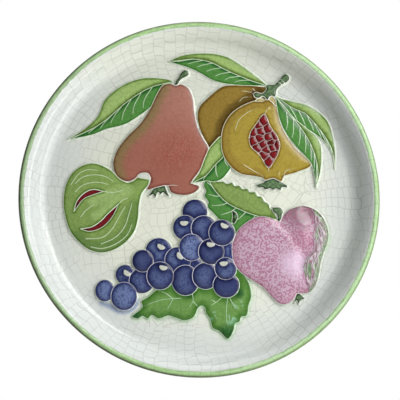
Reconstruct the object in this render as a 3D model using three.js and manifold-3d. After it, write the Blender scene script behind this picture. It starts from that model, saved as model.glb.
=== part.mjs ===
// A glazed earthenware wall plate with a raised fruit-and-leaf decoration, fired in one piece.
// Millimetres, +Z up. The face looks along -Y and the foot ring's flat lies on the wall at y = 0.
// The origin is on the foot ring's flat at twelve o'clock, so the plate's centre is below it.

import * as THREE from 'three';
import { mergeVertices } from 'three/addons/utils/BufferGeometryUtils.js';
import Module from 'manifold-3d';

// Turned body
const plateDiameter = 360;
const fieldThickness = 6.5;
const wallThickness = 6;
const coveRadius = 16; // inner curve where the field turns up into the wall
const straightWall = 1.4; // length of the wall's steepest stretch, between its two curves
const flareRadius = 26; // inner curve where the wall leans out to the lip
const wallSlopeDegrees = 58; // steepest lean of the wall
const lipSlopeDegrees = 24; // lean of the wall where it meets the lip
const footDiameter = 224;
const footWidth = 8;
const footHeight = 8;
const footChamfer = 1.2;

// Two small holes through the foot ring, for a hanging wire
const wireHoleDiameter = 3.5;
const wireHoleSpacing = 60;

// Heights of the relief above the field
const leafEdge = 0.8;
const leafBlade = 1.7;
const leafRib = 1.1;
const stemHeight = 2.2;
const budHeight = 1.8;
const fruitEdge = 1.2;
const backFruitCrown = 2.2;
const pearCrown = 3.0;
const figCrown = 3.2;
const frontFruitEdge = 1.8;
const frontFruitCrown = 3.4;
const seedOpeningHeight = 3.9;
const grapeEdge = 1.2;
const grapeCrown = 3.2;
const grapeStep = 0.4; // each nearer rank of grapes stands this much higher
const appleEdge = 2.0;
const appleCrown = 5.0;

// The decoration's places and widths below are drawn for a field of this radius
const drawnFieldRadius = 150;

// Fineness of the faceted surfaces
const turnSegments = 72;
const arcSteps = 4;
const lipSteps = 6;
const leafSteps = 8;
const fruitSides = 32;
const seedOpeningSides = 12;
const grapeSides = 12;
const holeSides = 10;
const moundRings = [0.88, 0.5]; // rings of a domed top, as shares of its outline
const weldDistance = 1e-4;

const wallSlope = THREE.MathUtils.degToRad(wallSlopeDegrees);
const lipSlope = THREE.MathUtils.degToRad(lipSlopeDegrees);
const lipRadius = wallThickness / 2;
const lipMiddle = plateDiameter / 2 - lipRadius;
const wallTop = lipMiddle - lipRadius * Math.sin(lipSlope);
const flareMiddle = wallTop + flareRadius * Math.sin(lipSlope);
const flareFoot = flareMiddle - flareRadius * Math.sin(wallSlope);
const straightFoot = flareFoot - straightWall * Math.cos(wallSlope);
const fieldRadius = straightFoot - coveRadius * Math.sin(wallSlope);

const fieldHeight = footHeight + fieldThickness;
const coveHeight = fieldHeight + coveRadius;
const coveTop = coveHeight - coveRadius * Math.cos(wallSlope);
const flareHeight = coveTop + straightWall * Math.sin(wallSlope) - flareRadius * Math.cos(wallSlope);
const lipHeight = flareHeight + (flareRadius - lipRadius) * Math.cos(lipSlope);

const footRadius = footDiameter / 2;
const footInside = footRadius - footWidth;
const footMiddle = (footRadius + footInside) / 2;
const drawingScale = fieldRadius / drawnFieldRadius;
const reliefRoot = fieldHeight - fieldThickness / 3; // the figures are sunk in the field to here
const wireHoleReach = footWidth * 2;

const wasm = await Module();
wasm.setup();

// A closed geometry as a solid, without the faces that a pointed end collapses
function solidOf(geometry) {
  geometry.deleteAttribute('normal');
  geometry.deleteAttribute('uv');
  const merged = mergeVertices(geometry, weldDistance);
  const corners = merged.index.array;
  const kept = [];
  for (let i = 0; i < corners.length; i += 3) {
    const [a, b, c] = corners.slice(i, i + 3);
    if (a !== b && b !== c && c !== a) kept.push(a, b, c);
  }
  return new wasm.Manifold(new wasm.Mesh({
    numProp: 3,
    vertProperties: new Float32Array(merged.attributes.position.array),
    triVerts: new Uint32Array(kept),
  }));
}

function geometryOf(solid) {
  const mesh = solid.getMesh();
  const geometry = new THREE.BufferGeometry();
  geometry.setAttribute('position', new THREE.BufferAttribute(mesh.vertProperties, 3));
  geometry.setIndex(new THREE.BufferAttribute(mesh.triVerts, 1));
  geometry.computeVertexNormals();
  return geometry;
}

// Part of a circle in the plate's section, while the surface turns from one lean to another.
// A hollow curve has a negative radius.
function sectionArc(middleRadius, middleHeight, radius, from, to, steps) {
  return Array.from({ length: steps + 1 }, (_, i) => {
    const lean = from + (to - from) * i / steps;
    return [middleRadius - radius * Math.sin(lean), middleHeight + radius * Math.cos(lean)];
  });
}

function turnedBody() {
  const section = [
    [0, fieldHeight],
    ...sectionArc(fieldRadius, coveHeight, -coveRadius, 0, wallSlope, arcSteps),
    ...sectionArc(flareMiddle, flareHeight, flareRadius, wallSlope, lipSlope, arcSteps),
    ...sectionArc(lipMiddle, lipHeight, lipRadius, lipSlope, lipSlope - Math.PI, lipSteps),
    ...sectionArc(flareMiddle, flareHeight, flareRadius - wallThickness, lipSlope, wallSlope, arcSteps),
    ...sectionArc(fieldRadius, coveHeight, -coveRadius - wallThickness, wallSlope, 0, arcSteps),
    [footRadius, footHeight],
    [footRadius, footChamfer],
    [footRadius - footChamfer, 0],
    [footInside + footChamfer, 0],
    [footInside, footChamfer],
    [footInside, footHeight],
    [0, footHeight],
  ];
  const points = section.map(([radius, height]) => new THREE.Vector2(radius, -height));
  return solidOf(new THREE.LatheGeometry(points, turnSegments));
}

function wireHole(side) {
  const hole = new THREE.CylinderGeometry(
    wireHoleDiameter / 2, wireHoleDiameter / 2, wireHoleReach, holeSides,
  );
  hole.translate(0, footMiddle, 0);
  hole.rotateX(Math.PI / 2);
  hole.translate(0, -footHeight / 2, 0);
  hole.rotateY(side * Math.asin(wireHoleSpacing / 2 / footMiddle));
  return solidOf(hole);
}

// A point of the decoration, drawn from the plate's centre, at a height above the wall
function onPlate([x, z], height) {
  return new THREE.Vector3(x * drawingScale, -height, z * drawingScale);
}

// The solid between a row of loops with as many points each, closed by a fan at each end
function loft(loops) {
  const count = loops[0].length;
  const ends = [loops[0], loops.at(-1)].map((loop) => loop
    .reduce((sum, point) => sum.add(point), new THREE.Vector3()).divideScalar(count));
  const positions = [...loops.flat(), ...ends].flatMap((point) => point.toArray());
  const first = loops.length * count;
  const faces = [];
  for (let k = 0; k < count; k++) {
    const next = (k + 1) % count;
    for (let i = 0; i + 1 < loops.length; i++) {
      const [a, b] = [i * count + k, i * count + next];
      faces.push(a, b, b + count, a, b + count, a + count);
    }
    faces.push(first, next, k, first + 1, first - count + k, first - count + next);
  }
  const geometry = new THREE.BufferGeometry();
  geometry.setAttribute('position', new THREE.Float32BufferAttribute(positions, 3));
  geometry.setIndex(faces);
  const solid = solidOf(geometry);
  if (solid.volume() > 0) return solid;
  geometry.setIndex(faces.reverse());
  return solidOf(geometry);
}

// Points along a curve through the given ones, evenly spread along its length
function along(points, steps, closed = false) {
  const path = points.map(([x, z]) => new THREE.Vector3(x, z, 0));
  const curve = new THREE.CatmullRomCurve3(path, closed, 'centripetal');
  return curve.getSpacedPoints(steps).slice(0, closed ? steps : steps + 1).map(({ x, y }) => [x, y]);
}

function ellipse([x, z], halfWidth, halfHeight, sides) {
  return Array.from({ length: sides }, (_, i) => {
    const angle = 2 * Math.PI * i / sides;
    return [x + halfWidth * Math.cos(angle), z + halfHeight * Math.sin(angle)];
  });
}

// A swelling with upright sides and a domed top, whose whole outline is seen from its middle
function mound(outline, middle, edge, crown) {
  const loopAt = (share, height) => outline.map(([x, z]) => onPlate(
    [middle[0] + (x - middle[0]) * share, middle[1] + (z - middle[1]) * share], height,
  ));
  return loft([
    loopAt(1, reliefRoot),
    loopAt(1, fieldHeight + edge),
    ...moundRings.map((share) => loopAt(
      share, fieldHeight + edge + (crown - edge) * Math.sqrt(1 - share * share),
    )),
  ]);
}

// A leaf blade that swells on both sides of its rib, from its foot to its tip
function leaf({ rib, left, right }) {
  const [foot, tip] = [rib[0], rib.at(-1)];
  const [ribLine, leftLine, rightLine] = [rib, [foot, ...left, tip], [foot, ...right, tip]]
    .map((points) => along(points, leafSteps));
  const middle = (a, b) => [(a[0] + b[0]) / 2, (a[1] + b[1]) / 2];
  return loft(ribLine.map((onRib, i) => {
    const pointed = i === 0 || i === leafSteps;
    const [onLeft, onRight] = [leftLine[i], rightLine[i]];
    return [
      onPlate(onLeft, reliefRoot),
      onPlate(onLeft, fieldHeight + leafEdge),
      onPlate(middle(onLeft, onRib), fieldHeight + (pointed ? leafEdge : leafBlade)),
      onPlate(onRib, fieldHeight + (pointed ? leafEdge : leafRib)),
      onPlate(middle(onRib, onRight), fieldHeight + (pointed ? leafEdge : leafBlade)),
      onPlate(onRight, fieldHeight + leafEdge),
      onPlate(onRight, reliefRoot),
    ];
  }));
}

// A straight stretch of stem with blunt ends
function stem(from, to, fromWidth, toWidth) {
  const length = Math.hypot(to[0] - from[0], to[1] - from[1]);
  const [alongX, alongZ] = [(to[0] - from[0]) / length, (to[1] - from[1]) / length];
  const place = ([x, z], forward, aside) => [
    x + alongX * forward - alongZ * aside, z + alongZ * forward + alongX * aside,
  ];
  const outline = [
    place(from, 0, -fromWidth / 2), place(to, 0, -toWidth / 2), place(to, toWidth / 2, 0),
    place(to, 0, toWidth / 2), place(from, 0, fromWidth / 2), place(from, -fromWidth / 2, 0),
  ];
  return mound(outline, [(from[0] + to[0]) / 2, (from[1] + to[1]) / 2], leafEdge, stemHeight);
}

// The low, jagged calyx or crown at the end of a fruit
function bud(outline, middle) {
  return mound(outline, middle, leafEdge, budHeight);
}

function pear() {
  const outline = [
    [-42.5, 107], [-36, 117], [-24, 117.5], [-12, 115], [-5.5, 99], [-3, 80], [9.5, 51], [1, 29],
    [-7, 15.5], [0, 10], [-14.5, 2.5], [-32, 8], [-51, 8.5], [-49, 18], [-56, 24], [-66, 18],
    [-77, 17.5], [-85.5, 33], [-79, 52], [-57, 79],
  ];
  return [
    mound(along(outline, fruitSides, true), [-36, 48], fruitEdge, pearCrown),
    stem([-24, 114], [-15.5, 129], 3, 5.5),
    bud([
      [-46, 9], [-50, 1.5], [-46.5, 4], [-44.5, -0.5], [-40.5, 4], [-36, 1], [-34, 4], [-30, 2],
      [-33, 10],
    ], [-40, 7]),
  ];
}

function pomegranates() {
  const outline = [
    [70, 102.5], [53, 100.5], [34, 89], [23, 64], [27, 39], [44, 24.5], [64.5, 19.5], [85, 18.5],
    [99, 26], [114, 35], [98, 52], [84, 77],
  ];
  const seedOpening = [[66.5, 86], [54, 70], [52, 54], [70, 32.5], [80.5, 47], [77, 67]];
  const crown = [
    [68, 22], [58.5, 12.5], [63, 11], [67, 9], [74.5, 8.5], [83.5, 8.5], [90.5, 12.5], [80, 21],
  ];
  return [
    mound(ellipse([31, 83], 34, 37, fruitSides), [31, 83], fruitEdge, backFruitCrown),
    mound(along(outline, fruitSides, true), [62, 58], frontFruitEdge, frontFruitCrown),
    mound(along(seedOpening, seedOpeningSides, true), [66, 59], frontFruitEdge, seedOpeningHeight),
    bud(crown, [74, 15]),
  ];
}

function fig() {
  const outline = [
    [-107, 34.5], [-89, 27.5], [-72, 16], [-62, 22], [-50, 18.5], [-58, 3], [-61, -22],
    [-72, -44.5], [-95, -56], [-118.5, -46.5], [-134, -17.5], [-133.5, 12], [-122, 29],
  ];
  return [mound(along(outline, fruitSides, true), [-98, -12], fruitEdge, figCrown)];
}

function apple() {
  const outline = [
    [33, -49], [37, -35], [54, -21], [71.5, -20], [82, -23.5], [89.5, -12.5], [105.5, -7.5],
    [122, -15.5], [130, -35], [124.5, -56], [119.5, -77], [110, -94], [97.5, -96.5], [84, -107],
    [67, -94], [39.5, -73],
  ];
  return [
    mound(along(outline, fruitSides, true), [86, -56], appleEdge, appleCrown),
    stem([80, -22], [76, -10.5], 5, 7.5),
    bud([[96, -96], [95, -105], [98, -102], [101, -102], [105.5, -101], [102, -95]], [99, -99]),
  ];
}

// Grapes as [x, z, radius, rank], where a higher rank hangs nearer
const grapes = [
  [-2.5, -10.5, 12.6, 0], [-13.5, -31, 11.2, 1], [6, -29.5, 12.5, 1], [29, -53, 8, 0],
  [-3.5, -66.5, 6, 0], [-39.5, -53.5, 13, 0], [-73, -78, 9.4, 0], [-21, -63, 13, 1],
  [26.5, -71.5, 11, 2], [28, -87, 12.6, 1], [-57.5, -84.5, 12, 1], [-55.5, -64.5, 10, 2],
  [-93, -94, 10, 1], [-38.5, -79, 13.2, 2], [7.5, -80, 12, 1], [-13, -84, 13.5, 2],
  [-7.5, -50.5, 12.2, 2], [13, -54.5, 12, 2], [23.5, -35.5, 12.6, 3], [-74, -99.5, 13.2, 2],
];

function grapeBunch() {
  return grapes.map(([x, z, radius, rank]) => mound(
    ellipse([x, z], radius, radius, grapeSides), [x, z],
    grapeEdge + rank * grapeStep, grapeCrown + rank * grapeStep,
  ));
}

function leaves() {
  const pearLeaf = {
    rib: [[-26, 121], [-50, 114], [-73, 99], [-93.5, 80.5], [-133, 58.5]],
    left: [[-49.5, 93.5], [-75, 75.5], [-107, 64.5]],
    right: [[-44, 125], [-72.5, 119], [-96.5, 99.5], [-106, 77]],
  };
  const topLeaf = {
    rib: [[70.5, 117.5], [42, 128.5], [11.5, 142], [-31.5, 142]],
    left: [[42, 117.5], [15, 122.5], [-8.5, 135]],
    right: [[55, 131], [22, 150], [-8, 150.5]],
  };
  const outerLeaf = {
    rib: [[78, 107.5], [108.5, 88.5], [133, 56.5], [138, 31]],
    left: [[104, 99.5], [131, 81], [138.5, 49.5]],
    right: [[90, 88], [123, 64], [136, 44.5]],
  };
  const innerLeaf = {
    rib: [[78.5, 106], [99, 79.5], [117, 47], [118.5, 12]],
    left: [[97, 83.5], [123, 60], [123.5, 30]],
    right: [[81, 84], [97.5, 55], [115, 32]],
  };
  const smallLeaf = {
    rib: [[31, 52.5], [16, 33.5], [-8.5, 14.5]],
    left: [[36, 32], [15.5, 19.5]],
    right: [[16.5, 58.5], [4, 36]],
  };
  const serratedLeaf = {
    rib: [[8, 24.5], [21, 2], [49.5, -15], [79, -21.5]],
    left: [[33.5, 16.5], [58.5, 4.5], [73.5, -11]],
    right: [[5.5, -3], [20.5, -24], [42, -36], [60, -24]],
  };
  return [pearLeaf, topLeaf, outerLeaf, innerLeaf, smallLeaf, serratedLeaf].map((shape) => leaf(shape));
}

function vineLeaf() {
  const outline = [
    [-66, -120], [-56.5, -105.5], [-48, -93.5], [7.5, -83.5], [37.5, -71], [50, -86.5],
    [51.5, -105], [42, -122], [34.5, -130], [28.5, -142], [20, -133.5], [8, -121], [3, -108],
    [-4, -119.5], [-15, -123], [-30, -118.5], [-38, -121.5], [-45, -118], [-52, -120.5],
  ];
  return mound(outline, [12, -96], leafEdge, leafBlade);
}

function branch() {
  return [
    stem([74, 113], [88, 125], 10, 8),
    stem([76, 112], [57.5, 107], 8, 6.5),
    stem([76, 113], [70, 102], 9, 5),
    stem([75, 113], [69.5, 117], 8, 4),
  ];
}

function plate() {
  const relief = [
    vineLeaf(), ...leaves(), ...pomegranates(), ...pear(), ...branch(), ...fig(), ...grapeBunch(),
    ...apple(),
  ];
  const raised = relief.reduce((body, figure) => body.add(figure), turnedBody());
  const pierced = [-1, 1].reduce((body, side) => body.subtract(wireHole(side)), raised);
  const glaze = new THREE.MeshStandardMaterial({ color: 0xdfe2d4, roughness: 0.2, metalness: 0 });
  const mesh = new THREE.Mesh(geometryOf(pierced), glaze);
  mesh.name = 'plate';
  mesh.position.z = -footMiddle;
  return mesh;
}

const object = new THREE.Group();
object.add(plate());
export default object;
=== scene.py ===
"""The looks of a glazed earthenware wall plate with a raised fruit-and-leaf decoration.

The plate is one piece of clay under one firing of glazes, so it is one mesh. Its face is drawn in
millimetres from the plate's centre, x to the right and z up, and is moved to its place in the end.
"""

import math

import bmesh
import bpy
import numpy as np
from mathutils import Matrix, Vector, kdtree
from mathutils.geometry import delaunay_2d_cdt


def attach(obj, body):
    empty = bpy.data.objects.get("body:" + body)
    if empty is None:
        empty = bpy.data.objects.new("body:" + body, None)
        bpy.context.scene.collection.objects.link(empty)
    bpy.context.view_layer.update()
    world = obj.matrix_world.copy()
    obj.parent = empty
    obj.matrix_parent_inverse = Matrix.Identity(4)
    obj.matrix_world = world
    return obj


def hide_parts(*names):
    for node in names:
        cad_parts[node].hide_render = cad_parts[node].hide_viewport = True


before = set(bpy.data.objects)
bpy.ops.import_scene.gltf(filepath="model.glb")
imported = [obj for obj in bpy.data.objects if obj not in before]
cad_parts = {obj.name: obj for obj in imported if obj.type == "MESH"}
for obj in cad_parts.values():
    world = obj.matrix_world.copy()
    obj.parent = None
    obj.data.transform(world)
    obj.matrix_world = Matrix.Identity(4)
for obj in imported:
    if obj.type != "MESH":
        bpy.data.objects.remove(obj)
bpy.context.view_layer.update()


# Camera: a long lens, slightly below and left of the plate's axis, as in the photograph
plate_centre = Vector((0, 0, -0.108))
camera_aim = plate_centre + Vector((-0.0002, -0.0304, -0.0051))
camera_azimuth = math.radians(-2.5)
camera_elevation = math.radians(-10.3)
camera_distance = 1.15
away = Vector((
    math.sin(camera_azimuth) * math.cos(camera_elevation),
    -math.cos(camera_azimuth) * math.cos(camera_elevation),
    math.sin(camera_elevation),
))
camera_data = bpy.data.cameras.new("camera")
camera_data.sensor_width = 36
camera_data.lens = 104.05
camera = bpy.data.objects.new("camera", camera_data)
camera.location = camera_aim + away * camera_distance
camera.rotation_mode = "QUATERNION"
camera.rotation_quaternion = (-away).to_track_quat("-Z", "Y")
bpy.context.scene.collection.objects.link(camera)
bpy.context.scene.camera = camera


# Plate, the drawing: on the clay, each figure is one area of glaze inside a raised line of trailed
# white slip. The figures stand on each other from back to front, and a nearer one hides what is
# under it.
sample_step = 0.3  # between the points of every drawn line


def evenly(path, step):
    """Points at even steps along a path"""
    lengths = np.concatenate([[0], np.cumsum(np.linalg.norm(np.diff(path, axis=0), axis=1))])
    at = np.linspace(0, lengths[-1], max(2, round(lengths[-1] / step)) + 1)
    return np.column_stack([np.interp(at, lengths, path[:, k]) for k in (0, 1)])


def curve(points, closed=False):
    """A smooth curve through the points: a centripetal Catmull-Rom spline"""
    p = np.array(points, float)
    ends = (p[-1:], p[:2]) if closed else (2 * p[:1] - p[1:2], 2 * p[-1:] - p[-2:-1])
    around = np.vstack([ends[0], p, ends[1]])
    s = np.linspace(0, 1, 12, endpoint=False)[:, None]
    stretches = []
    for a, b, c, d in zip(around, around[1:], around[2:], around[3:]):
        t1, t2, t3 = (math.dist(*pair) ** 0.5 for pair in ((a, b), (b, c), (c, d)))
        leave = (c - b) + t2 * ((b - a) / t1 - (c - a) / (t1 + t2))
        arrive = (c - b) + t2 * ((d - c) / t3 - (d - b) / (t2 + t3))
        stretches.append(
            (2 * s**3 - 3 * s**2 + 1) * b + (s**3 - 2 * s**2 + s) * leave
            + (3 * s**2 - 2 * s**3) * c + (s**3 - s**2) * arrive
        )
    stretches.append(p[:1] if closed else p[-1:])
    return evenly(np.vstack(stretches), sample_step)


def inside(points, outline):
    """Which points lie inside a closed outline"""
    result = np.zeros(len(points), bool)
    low, high = outline.min(0), outline.max(0)
    near = np.flatnonzero(((points >= low) & (points <= high)).all(1))
    x, z = points[near].T
    odd = np.zeros(len(near), bool)
    corners = outline[::2]
    for (x1, z1), (x2, z2) in zip(corners, np.roll(corners, -1, axis=0)):
        if z1 != z2:
            odd ^= ((z1 > z) != (z2 > z)) & (x < x1 + (z - z1) * (x2 - x1) / (z2 - z1))
    result[near] = odd
    return result


def tree_of(points):
    """The points in a tree that finds the nearest of them"""
    tree = kdtree.KDTree(len(points))
    for i, (x, z) in enumerate(points):
        tree.insert((x, z, 0), i)
    tree.balance()
    return tree


def distance(points, path):
    """How far each point is from a path"""
    tree = tree_of(path)
    return np.array([tree.find((x, z, 0))[2] for x, z in points])


def smooth(value):
    """A value from 0 to 1 with soft ends"""
    value = np.clip(value, 0, 1)
    return value * value * (3 - 2 * value)


class Figure:
    """One glazed area: its edge and crown are heights above the field, and its top is domed over
    the reach, in from the outline. Its tint says how far its glaze turns to its second colour."""

    def __init__(self, glaze, outline, edge, crown, reach, tint=None, border=0.5):
        self.glaze = glaze
        self.outline = outline
        self.edge = edge
        self.crown = crown
        self.reach = reach
        self.tint = tint
        self.border = border
        self.lines = []

    def line(self, points, half_width=0.42, rise=0.45, white=True):
        """A line raised on the figure"""
        self.lines.append((curve(points), half_width, rise, white))


figures = []


def figure(*args, **kwargs):
    """Lays a figure over those before it"""
    figures.append(Figure(*args, **kwargs))
    return figures[-1]


def towards(path, reach):
    """A tint that is full on a path and fades out over the reach"""
    path = curve(path)
    return lambda points: smooth(1 - distance(points, path) / reach)


def leaf(rib, light_edge, dark_edge, veins, vein_reach=0.82, vein_lean=0.2, edge=0.9, dull=False):
    """A leaf in two halves, the light one plain and the dark one with side veins from the rib"""
    rib_path = curve(rib)
    first_vein, last_vein = 0.18, 0.86
    for glaze, side in (("leaf_light", light_edge), ("leaf_dark", dark_edge)):
        side_path = curve([rib[0], *side, rib[-1]])
        half = figure(
            glaze, np.vstack([rib_path, side_path[::-1][1:-1]]), edge, edge + 0.7, 7,
            tint=(lambda p: np.ones(len(p))) if dull and glaze == "leaf_light" else towards(rib, 6),
        )
        if glaze == "leaf_dark":
            for share in np.linspace(first_vein, last_vein, veins):
                root = rib_path[int(share * len(rib_path))]
                end = side_path[int(np.clip(share + vein_lean, 0.03, 0.97) * len(side_path))]
                tip = root + (end - root) * vein_reach
                bend = (root + tip) / 2 + (rib_path[-1] - root) * 0.04
                half.line([root, bend, tip], 0.48, 0.35)


# The vine leaf under the bunch, with lobes, toothed edges and branching veins
vine = figure(
    "vine",
    curve([
        (-51, -100.5), (-57, -104.5), (-55.5, -109.5), (-65.5, -119.5), (-60.5, -121.5),
        (-55.5, -119), (-50.5, -121.5), (-46.5, -118), (-40, -121.5), (-30, -118.5), (-22, -121),
        (-14, -123), (-5.5, -120), (-0.5, -110.5), (3, -108.5), (6, -111), (7, -115.5), (11, -122),
        (13.5, -130.5), (20, -133.5), (28.5, -141), (34, -133.5), (36, -126), (40, -124),
        (42, -119.5), (47, -118), (49.5, -107.5), (52, -99), (50, -86.5), (45.5, -78.5), (37.5, -71),
        (7.5, -83.5), (-33.5, -87.5),
    ], closed=True),
    0.9, 1.9, 9,
    tint=lambda p: np.maximum.reduce([
        smooth(1 - np.hypot(p[:, 0] - x, p[:, 1] - z) / reach)
        for x, z, reach in ((28, -139, 22), (-64, -120, 14), (-10, -95, 12), (40, -96, 9))
    ]),
)
for vein in (
    [(-20.5, -101.5), (-26.5, -101), (-33.5, -96), (-40, -94)],
    [(-17, -101), (-25, -101.5), (-38, -103), (-54, -109)],
    [(-26, -102.5), (-31.5, -112.5)],
    [(-6.5, -97), (-6, -104), (-10.5, -111)],
    [(-5.5, -104.5), (-1.5, -109)],
    [(25, -98), (17, -105), (11, -108.5)],
    [(16, -105), (12, -102.5)],
    [(29, -98), (27, -111), (27.5, -128)],
    [(29.5, -99), (34, -107.5), (38, -113)],
):
    vine.line(vein)

# The toothed leaf above the bunch, and the grapes' short stem on it
toothed_edge = [
    (15.5, 19), (20, 16.8), (24.5, 17), (29, 14.6), (33.5, 16), (36.5, 12.6), (41, 12.8), (44.5, 9.4),
    (49, 9.8), (52, 6.4), (57, 6.4), (59.5, 2.6), (64, 1), (66, -3), (70, -5.4), (71.5, -9.5),
    (75, -13),
]
leaf(
    [(8, 24.5), (12.5, 13), (21, 2), (30, -6), (40, -11), (49.5, -15), (60.5, -18.5), (79, -21.5)],
    toothed_edge,
    [(5, 12), (7.2, 7), (5.6, 2), (9.4, -4), (8.6, -9), (14, -15), (20.5, -22), (31.5, -33.5),
     (37.5, -38), (44.5, -30), (60, -23)],
    veins=7, vein_lean=-0.12, dull=True,
)
figure(
    "stem",
    curve([(33.5, -13), (36.5, -14), (39, -18), (38, -22), (35, -26.5), (33, -24.5), (33.5, -19)],
          closed=True),
    1.2, 2.0, 2, border=0.36,
)

# The leaf behind the pear
leaf(
    [(-26, 121), (-50, 114), (-73, 99), (-93.5, 80.5), (-108.5, 70), (-133, 58.5)],
    [(-34.5, 123.5), (-57, 124), (-72.5, 119), (-85.5, 111), (-96.5, 99.5), (-102.5, 84),
     (-113.5, 72)],
    [(-39.5, 104.5), (-49.5, 93.5), (-60, 85), (-75, 75.5), (-94, 70), (-107, 64.5)],
    veins=8,
)

# The pomegranate behind, olive brown and darker where the others stand over it
back = figure(
    "back_fruit",
    curve([
        (-1.5, 88), (1.5, 96), (8, 103), (15, 109.5), (25, 116.5), (45, 118), (60, 117), (70.5, 115),
        (71, 104), (60, 80), (45, 55), (30, 46), (13, 48), (8, 56), (3.2, 65), (-0.5, 76),
    ], closed=True),
    1.1, 2.0, 16,
    tint=towards([(69, 108), (57, 107), (46, 99), (33, 89), (24.5, 76), (21, 62), (14, 52)], 13),
)
back.line([(43.5, 111.5), (50, 111), (55, 108.5)], 0.34, 0.3)
back.line([(41, 100), (45.5, 104.5), (54.5, 105.5)], 0.34, 0.3)
back.line([(55, 114.5), (57.5, 111)], 0.34, 0.3)

# The leaf along the top
leaf(
    [(70.5, 117.5), (54.5, 122.5), (29.5, 133), (11.5, 142), (-6, 145), (-19, 143.5), (-31.5, 142)],
    [(61, 126), (42.5, 140), (29.5, 147.5), (14, 151), (-2.5, 151), (-18, 148.5)],
    [(58, 117.5), (33, 118.5), (15, 122.5), (2.5, 129.5), (-8.5, 135), (-21, 139)],
    veins=8, vein_reach=0.75,
)

# The pear, with its calyx and stem
figure(
    "stem",
    curve([(-35, 13), (-32.5, 8), (-30, 1), (-33.5, 3), (-36, 5.5), (-38.5, 3), (-41, 5.5), (-44, 0),
           (-46, 3), (-50.5, 1), (-47.5, 6.5), (-44, 13)], closed=True),
    1.0, 1.6, 2,
)
figure(
    "stem",
    curve([(-14.5, 133), (-11.5, 132), (-10.5, 128.5), (-13, 126), (-17, 124), (-20.5, 120), (-22, 116),
           (-25, 116), (-23, 122.5), (-20, 126.5), (-18.5, 130)], closed=True),
    1.4, 2.6, 2,
)
pear_shade = curve([
    (-40, 114), (-45, 107.5), (-51, 91.5), (-60, 76.5), (-74, 62), (-83.5, 48.5), (-87.5, 34), (-84, 20),
])
pear = figure(
    "pear",
    curve([
        (-36.5, 117), (-29, 118.5), (-24, 116.5), (-19, 118), (-11, 114), (-6.5, 104), (-4.5, 88),
        (-1, 72.5), (4.5, 60.5), (9.5, 51), (5.5, 38), (-0.5, 26), (-7, 15.5), (0.5, 11.5), (-3.5, 6),
        (-14.5, 2.5), (-28, 5.5), (-31.5, 12), (-42, 10.5), (-52, 8), (-48.5, 19), (-52, 24), (-59, 24),
        (-65, 18.5), (-73, 16), (-83, 22), (-86.6, 34), (-82.6, 48.5), (-73, 62), (-59.4, 76.5),
        (-50, 91.5), (-42.8, 107.5),
    ], closed=True),
    1.3, 2.9, 26,
    tint=lambda p: smooth(1 - (distance(p, pear_shade) - 5) / 11),
)
pear.line([(-33.5, 12), (-26, 12.6), (-20, 12)])

# The small leaf between the pear and the pomegranate
leaf(
    [(31, 52.5), (24.5, 42.5), (16, 33.5), (7, 23), (-8.5, 14.5)],
    [(22.5, 63.5), (16.5, 58.5), (10.5, 51), (5.5, 40), (0, 26)],
    [(38, 39.5), (32, 30.5), (23.5, 20), (15.5, 16.5), (7.5, 17.5)],
    veins=4, edge=1.2,
)

# The cut pomegranate in front, with its crown, its seeds and the creases in its skin
figure(
    "stem",
    curve([
        (58.5, 13.5), (65.5, 16.5), (70, 20.5), (80, 20.5), (83.5, 17), (89.5, 13), (89, 11.5),
        (84, 11.5), (82.5, 8.5), (77.5, 10), (75, 8.5), (72, 10), (66.5, 9), (64.5, 11), (60, 11),
    ], closed=True),
    1.2, 2.2, 3,
)
pomegranate_shade = curve([
    (68, 104), (58, 103.5), (44.5, 98.5), (31.5, 89.5), (23.5, 76.5), (20.5, 60), (22, 45), (30, 31.5),
    (42, 23), (57, 20.5),
])
pomegranate = figure(
    "front_fruit",
    curve([
        (70, 102.5), (58.5, 101.5), (45.5, 96.5), (33.5, 88), (25.5, 75.5), (22.5, 60), (24, 46),
        (31, 33.5), (42, 25), (57, 22.5), (65, 20.5), (67, 18.6), (75, 20.6), (83.5, 17.6),
        (86, 22.5), (99, 27), (114, 35), (99, 51), (88.5, 66), (82.5, 79.5), (80, 95.5), (77, 103),
    ], closed=True),
    1.9, 3.3, 24,
    tint=lambda p: smooth(1 - (distance(p, pomegranate_shade) - 8) / 5),
)
opening = curve([
    (66.5, 87), (58.5, 77), (52, 67), (51, 59), (53, 52.5), (61, 45), (70.5, 31), (75.5, 37.5),
    (80.5, 47), (82, 55.5), (79, 64.5), (72.5, 74.5),
], closed=True)
for crease in (
    [(36.5, 70), (41, 81), (50, 89), (61.5, 94.5)],
    [(45, 34), (56, 27.5), (65.5, 22)],
    [(85.5, 19.5), (87.5, 27.5), (96.5, 31.5)],
    [(67, 87), (70.5, 94)],
    [(70.5, 31.5), (70, 26.5)],
    [(80.5, 24), (81, 26.5)],
):
    pomegranate.line(crease, 0.36, 0.35)
figure("seed", opening, 2.6, 2.9, 3)
seeds = np.array([
    (65.5, 79), (70, 72), (62, 69), (60.2, 75.4), (55.5, 68), (71.5, 62.5), (77, 64.5), (55.5, 58.5),
    (61, 61.5), (65, 55), (68.5, 50), (74, 52.5), (79.5, 55), (58.5, 51.5), (66, 43.5), (76.5, 44.5),
    (71, 38.5), (73.5, 57.5),
])
seed_sides = 11
widest_seed = 9
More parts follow.
